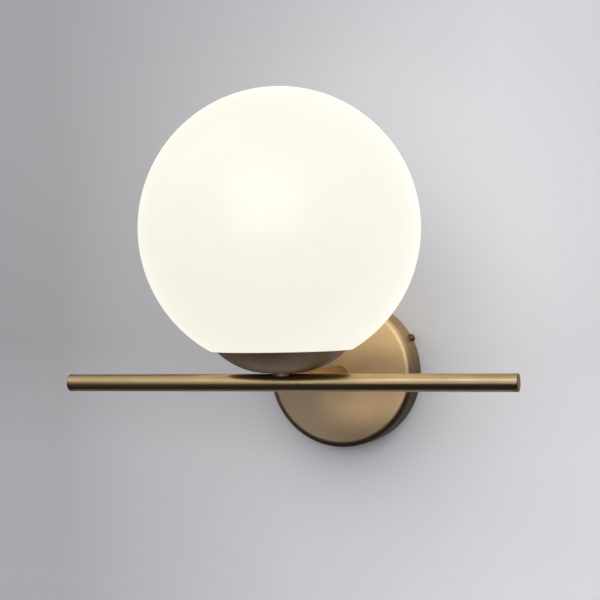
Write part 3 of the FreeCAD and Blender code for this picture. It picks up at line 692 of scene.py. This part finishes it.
@dataclass
class BrassWork(SubAssembly):
    """Everything in antique brass: canopy, arm, crossbar, saddle and cup."""

    label: str = "brass work"
    face: CanopyBrass = CanopyBrass("antique_brass_canopy", Grain.ROUND_WALL_AXIS, bright=(0.66, 0.46, 0.26),
                                    aged=(0.56, 0.385, 0.22), roughness=0.4, lacquer=0.08,
                                    edge_tone=(0.75, 0.65, 0.50))
    bar: BarBrass = BarBrass("antique_brass_bar", Grain.ALONG_BAR, bright=(0.56, 0.405, 0.21),
                             aged=(0.45, 0.32, 0.165), roughness=0.27, edge_tone=(0.95, 0.85, 0.65))
    cap: BarBrass = BarBrass("antique_brass_end_cap", Grain.NONE, bright=(0.56, 0.42, 0.24),
                             aged=(0.47, 0.345, 0.195), roughness=0.25)
    # Painted shade: the cup and saddle take a much darker copy of the same antique brass, as the cup faces
    # down into the dark.
    bowl: AgedBrass = AgedBrass("antique_brass_cup", Grain.ROUND_SHADE_AXIS, bright=(0.26, 0.185, 0.115),
                                aged=(0.205, 0.145, 0.09), roughness=0.5, lacquer=0.08,
                                edge_tone=(0.95, 0.90, 0.85))
    arm: AgedBrass = AgedBrass("antique_brass_arm", Grain.NONE, bright=(0.49, 0.385, 0.255),
                               aged=(0.42, 0.33, 0.215), roughness=0.3, lacquer=0.08)
    # Painted shade: the canopy screws take a much darker copy of the same antique brass, matching the
    # painted shade on the canopy's side.
    screw: AgedBrass = AgedBrass("antique_brass_screw", Grain.NONE, bright=(0.20, 0.14, 0.08),
                                 aged=(0.13, 0.09, 0.055), roughness=0.4, lacquer=0.08)

    def coats(self) -> dict[Finish, tuple[str, ...]]:
        """Dress each brass piece with the grain it was brushed in.

        Returns:
            The nodes' names by finish.
        """
        return {
            self.face: ("canopy",),
            self.bar: ("crossbar",),
            self.bowl: ("cup", "cup_saddle"),
            self.cap: ("crossbar_end_caps",),
            self.screw: ("canopy_screws",),
            self.arm: ("arm_tube",),
        }


@dataclass
class Shade(SubAssembly):
    """Glass ball and its gasket."""

    label: str = "shade"
    opal: OpalGlass = OpalGlass()
    silicone: Moulded = Moulded("silicone", (0.80, 0.80, 0.78), 0.6)

    def coats(self) -> dict[Finish, tuple[str, ...]]:
        """Dress the ball and the gasket."""
        return {self.opal: ("globe_glass",), self.silicone: ("glass_gasket",)}


@dataclass
class Lamp(SubAssembly):
    """Lampholder and bulb."""

    label: str = "lampholder and bulb"
    holder: Moulded = Moulded("holder_plastic", (0.80, 0.79, 0.75), 0.4)
    insert: Moulded = Moulded("insert_ceramic", (0.82, 0.80, 0.75), 0.6)
    nickel: Metal = Metal("nickel", (0.72, 0.70, 0.66), 0.2)
    vitrite: Moulded = Moulded("black_glass", (0.02, 0.02, 0.025), 0.12)
    clear: ClearGlass = ClearGlass()
    phosphor: Moulded = Moulded("filament", (0.85, 0.62, 0.15), 0.6)

    def coats(self) -> dict[Finish, tuple[str, ...]]:
        """Dress the lampholder's and the bulb's pieces.

        Returns:
            The nodes' names by finish.
        """
        return {
            self.holder: ("lampholder_base", "lampholder_skirt"),
            self.insert: ("lampholder_insert",),
            self.nickel: ("bulb_cap", "bulb_frame"),
            self.vitrite: ("bulb_insulator",),
            self.clear: ("bulb_envelope", "bulb_stem"),
            self.phosphor: ("bulb_filaments",),
        }


@dataclass
class Wiring(SubAssembly):
    """The three insulated wires."""

    label: str = "wiring"
    brown: Moulded = Moulded("wire_brown", (0.16, 0.06, 0.025))
    blue: Moulded = Moulded("wire_blue", (0.03, 0.10, 0.42))
    striped: StripedSleeve = StripedSleeve()

    def coats(self) -> dict[Finish, tuple[str, ...]]:
        """Dress each wire."""
        return {self.brown: ("wire_live",), self.blue: ("wire_neutral",), self.striped: ("wire_earth",)}


@dataclass
class Studio:
    """Wall, room light, lamp and camera round the object; angles in degrees."""

    wall_gap: float = 0.0004
    wall_half: float = 1.6
    wall_overlap: float = 0.0005
    wall_steps: int = 64
    # Painted light: the wall's grey tones, by place across and up the wall, are lighter to the right and
    # lower down and lightest in the middle below the ball, where they lift its shadow.
    wall_columns: tuple[float, ...] = (-0.27, -0.06, 0.13)
    wall_rows: tuple[float, ...] = (-0.18, -0.07, 0.03, 0.24)
    wall_painted_light_tones: tuple[tuple[float, ...], ...] = (
        (0.56, 0.805, 0.95), (0.541, 0.896, 0.938), (0.445, 0.70, 0.83), (0.475, 0.62, 0.80))
    wall_tint: Colour = (0.99, 0.99, 1.04)
    sky_rises: tuple[float, ...] = (-1.0, -0.25, 0.0, 0.3, 0.6, 0.86, 1.0)
    sky_greys: tuple[float, ...] = (0.04, 0.02, 0.53, 0.70, 1.0, 1.0, 0.6)
    dim_tone: Colour = (0.0, 0.0, 0.0)
    dim_side: Span = (-0.22, -0.38)
    dim_drop: Span = (0.5, 0.1)
    dim_share: float = 0.65
    backdrop: Colour = (0.78, 0.78, 0.80)
    backdrop_in_metal: float = 0.05
    key_place: tuple[float, float, float] = (0.35, -2.7, 0.85)
    key_size: float = 2.6
    key_power: float = 37.5
    key_aim_z: float = 0.05
    camera_distance: float = 0.9466
    camera_yaw: float = 18.57
    camera_pitch: float = -0.61
    camera_roll: float = -0.99
    camera_clip: float = 0.05
    aim_x: float = 0.01441
    aim_z: float = 0.05835
    focal_pixels: float = 1341.0
    frame_pixels: float = 600.0
    sensor_mm: float = 36.0

    def build(self) -> None:
        """Set the view transform, then add wall, room light, lamp and camera."""
        bpy.context.scene.view_settings.view_transform = "Standard"
        self._wall()
        self._world()
        self._key_lamp()
        self._camera()

    def _wall_grey_and_painted_light(self) -> bpy.types.Material:
        """Mix the wall's grey paint with painted light by place, lighter to the right and lower down and
        lightest in the middle below the ball, where it lifts the ball's shadow; the wall is seen through
        from behind.

        Returns:
            The finished material.
        """
        shader = Shader("wall_grey_and_painted_light")
        place = shader.split(shader.place())
        rows = []
        # Painted light by place: lighter to the right and lower down.
        for tones in self.wall_painted_light_tones:
            tinted = [tuple(tone * tint for tint in self.wall_tint) for tone in tones]
            rows.append(shader.blend(place["X"], self.wall_columns, tinted))
        colour = shader.blend(place["Z"], self.wall_rows, rows)
        front = shader.node("BsdfDiffuse", Color=colour).outputs["BSDF"]
        clear = shader.node("BsdfTransparent").outputs["BSDF"]
        behind = shader.node("NewGeometry").outputs["Backfacing"]
        return shader.finish(shader.mix_surfaces(behind, front, clear))

    def _wall(self) -> None:
        """Build the wall as a square with a round hole behind the canopy, so that its inside is lit."""
        hole = canopy_radius() - self.wall_overlap
        steps = self.wall_steps
        turns = [math.tau * step / steps for step in range(steps)]
        rays = [(math.cos(turn), math.sin(turn)) for turn in turns]
        points = [(x * hole, self.wall_gap, z * hole) for x, z in rays]
        for x, z in rays:
            reach = self.wall_half / max(abs(x), abs(z))
            points.append((x * reach, self.wall_gap, z * reach))
        faces = []
        for step in range(steps):
            after = (step + 1) % steps
            faces.append((step, steps + step, steps + after, after))
        mesh = bpy.data.meshes.new("wall")
        mesh.from_pydata(points, [], faces)
        mesh.materials.append(self._wall_grey_and_painted_light())
        wall = bpy.data.objects.new("wall", mesh)
        bpy.context.scene.collection.objects.link(wall)

    def _world(self) -> None:
        """Light the room, dim below the horizon and low on the left, with a plain pale background."""
        shader = RoomShader("room")
        towards = shader.split(shader.node("TexCoord").outputs["Generated"])
        greys = [(grey, grey, grey) for grey in self.sky_greys]
        colour = shader.blend(towards["Z"], self.sky_rises, greys)
        side = shader.ramp(towards["X"], self.dim_side, smooth=True)
        low = shader.ramp(towards["Z"], self.dim_drop, most=self.dim_share, smooth=True)
        colour = shader.mix(shader.maths("MULTIPLY", side, low), colour, self.dim_tone)
        path = shader.node("LightPath").outputs
        metal = shader.maths("MULTIPLY", path["Is Glossy Ray"], self.backdrop_in_metal)
        seen = shader.maths("ADD", path["Is Camera Ray"], path["Is Transmission Ray"])
        colour = shader.mix(shader.maths("ADD", seen, metal), colour, self.backdrop)
        background = shader.node("Background", Color=colour).outputs["Background"]
        bpy.context.scene.world = shader.finish(background)

    def _key_lamp(self) -> None:
        """Add a large soft square lamp above and behind the camera."""
        place = Vector(self.key_place)
        middle = Vector((0.0, shade_axis_y(), self.key_aim_z))
        light = bpy.data.lights.new("key", "AREA")
        light.size = self.key_size
        light.energy = self.key_power
        lamp = bpy.data.objects.new("key", light)
        lamp.location = place
        lamp.rotation_mode = "QUATERNION"
        lamp.rotation_quaternion = (middle - place).to_track_quat("-Z", "Y")
        bpy.context.scene.collection.objects.link(lamp)

    def _camera(self) -> None:
        """Add the camera at the photo's angle: right of the middle, nearly level, rolled a degree."""
        yaw = math.radians(self.camera_yaw)
        pitch = math.radians(self.camera_pitch)
        roll = math.radians(self.camera_roll)
        level = math.cos(pitch)
        ahead = Vector((-math.sin(yaw) * level, math.cos(yaw) * level, -math.sin(pitch)))
        level_right = Vector((math.cos(yaw), math.sin(yaw), 0.0))
        level_up = level_right.cross(ahead)
        right = level_right * math.cos(roll) + level_up * math.sin(roll)
        up = level_up * math.cos(roll) - level_right * math.sin(roll)
        aim = Vector((self.aim_x, shade_axis_y(), self.aim_z))
        data = bpy.data.cameras.new("camera")
        data.sensor_width = self.sensor_mm
        data.lens = self.focal_pixels / self.frame_pixels * self.sensor_mm
        data.clip_start = self.camera_clip
        camera = bpy.data.objects.new("camera", data)
        turn = Matrix((right, up, -ahead)).transposed()
        camera.matrix_world = Matrix.Translation(aim - ahead * self.camera_distance) @ turn.to_4x4()
        bpy.context.scene.collection.objects.link(camera)
        bpy.context.scene.camera = camera


def main() -> None:
    """Dress every sub-assembly, log each node's finish and set up the studio."""
    logging.basicConfig(level=logging.INFO, format="%(name)s: %(message)s")
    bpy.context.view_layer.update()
    groups: list[SubAssembly] = [WallFixing(), BrassWork(), Shade(), Lamp(), Wiring()]
    missed = set(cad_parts)
    for group in groups:
        for name, finish in group.dress().items():
            LOG.info("%s: %s in %s", group.label, name, finish)
            missed.discard(name)
    if missed:
        LOG.warning("no finish on %s", sorted(missed))
    Studio().build()


if __name__ == "__main__":
    main()
